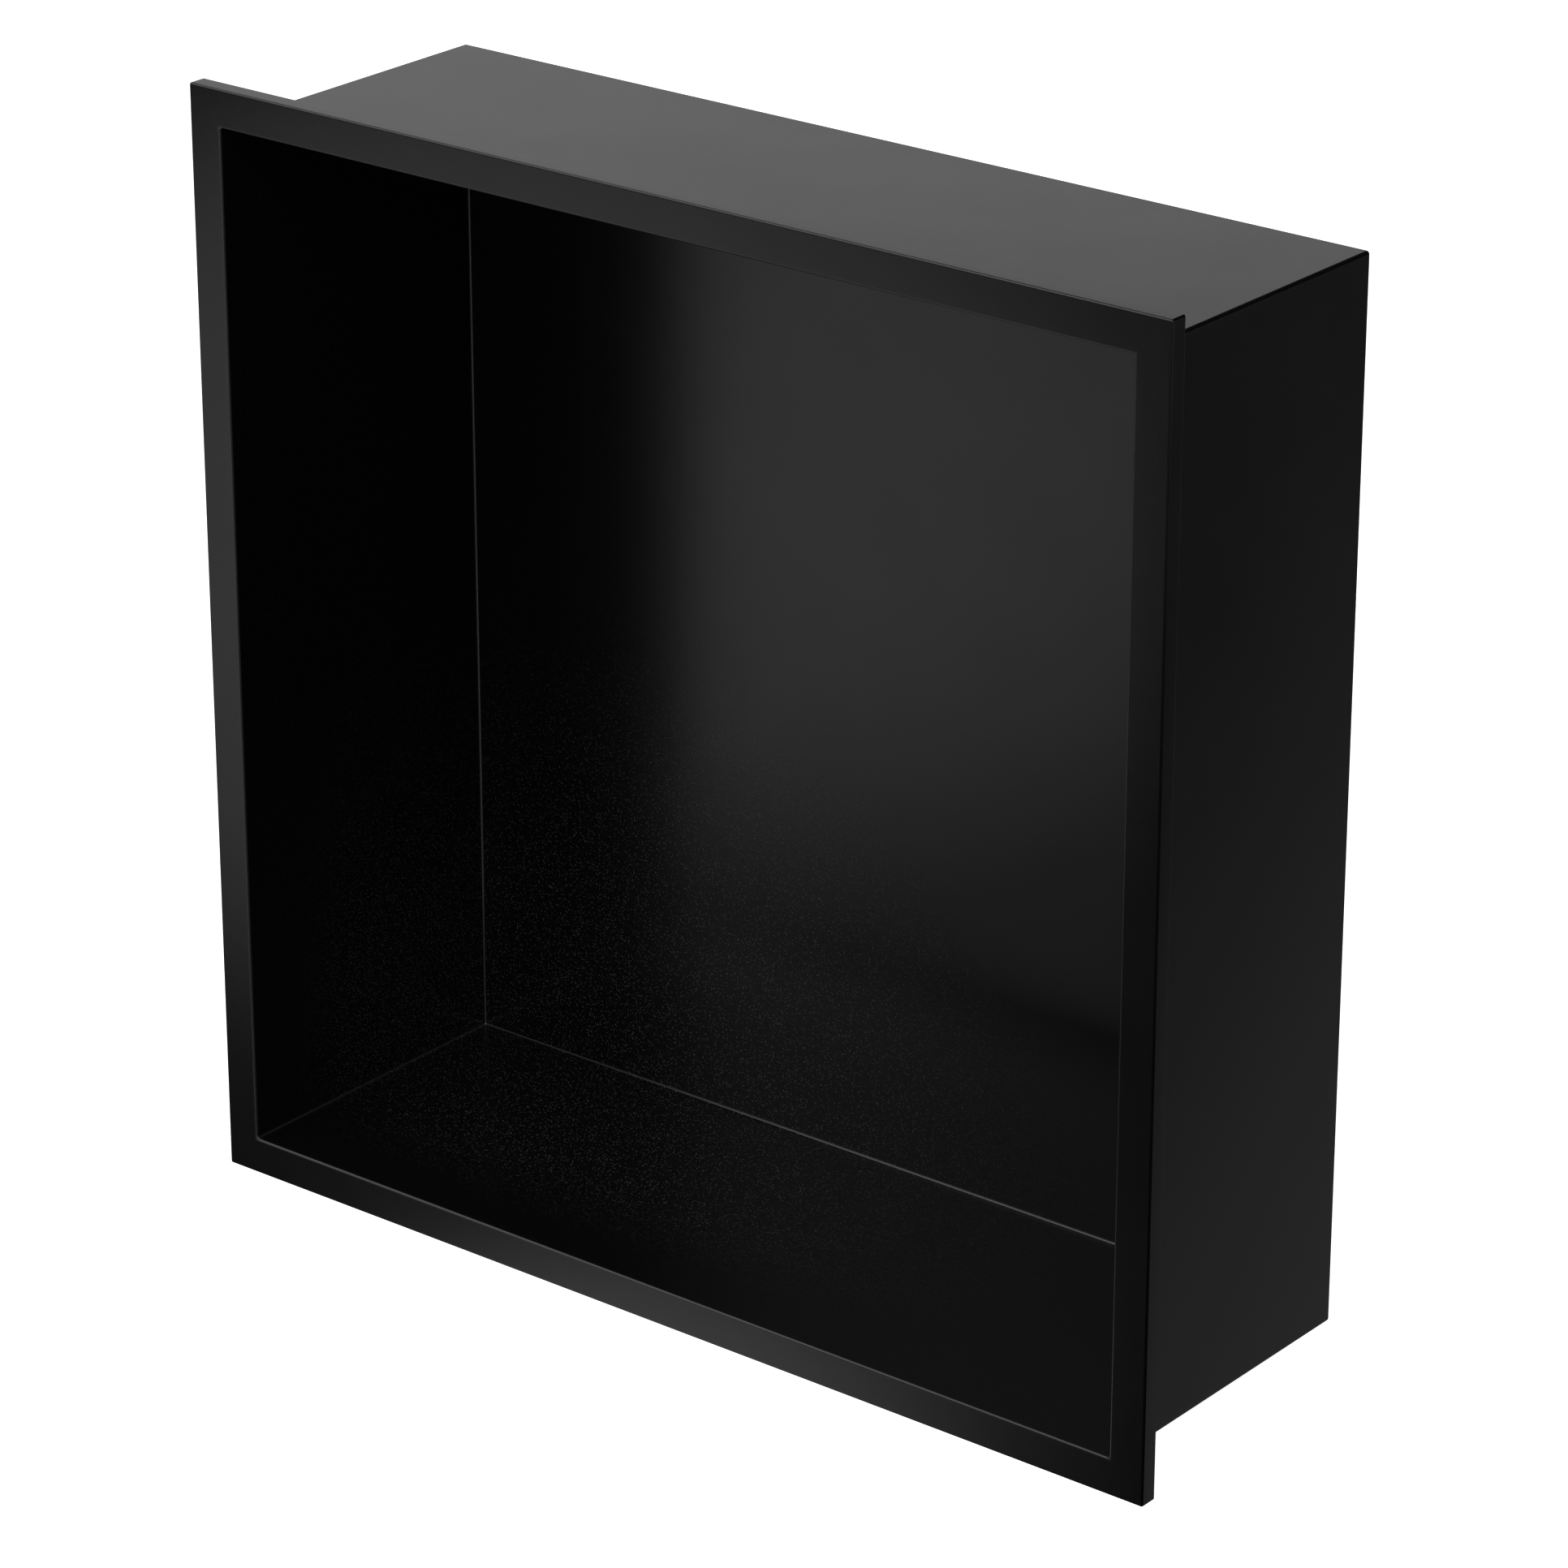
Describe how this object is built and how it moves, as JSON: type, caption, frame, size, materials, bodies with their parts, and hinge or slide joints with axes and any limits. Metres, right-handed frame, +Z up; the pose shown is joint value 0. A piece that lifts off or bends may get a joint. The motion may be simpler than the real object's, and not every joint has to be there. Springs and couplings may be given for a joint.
{
  "type": "shower niche insert",
  "caption": "Square recessed wall niche of folded steel sheet with a satin black coat: an open-fronted box to stand bottles in, with a slim flange and return lip round its mouth.",
  "frame": {"origin": "centre of the plane in which the flange's return lip meets the finished wall", "axes": "+X to the right and +Z up as seen from the room, +Y into the wall"},
  "size_m": [0.3268, 0.1016, 0.3268],
  "materials": {
    "black_coat": "smooth satin black coat on steel sheet"
  },
  "bodies": {
    "root": {"niche_shell": "black_coat"}
  },
  "joints": []
}
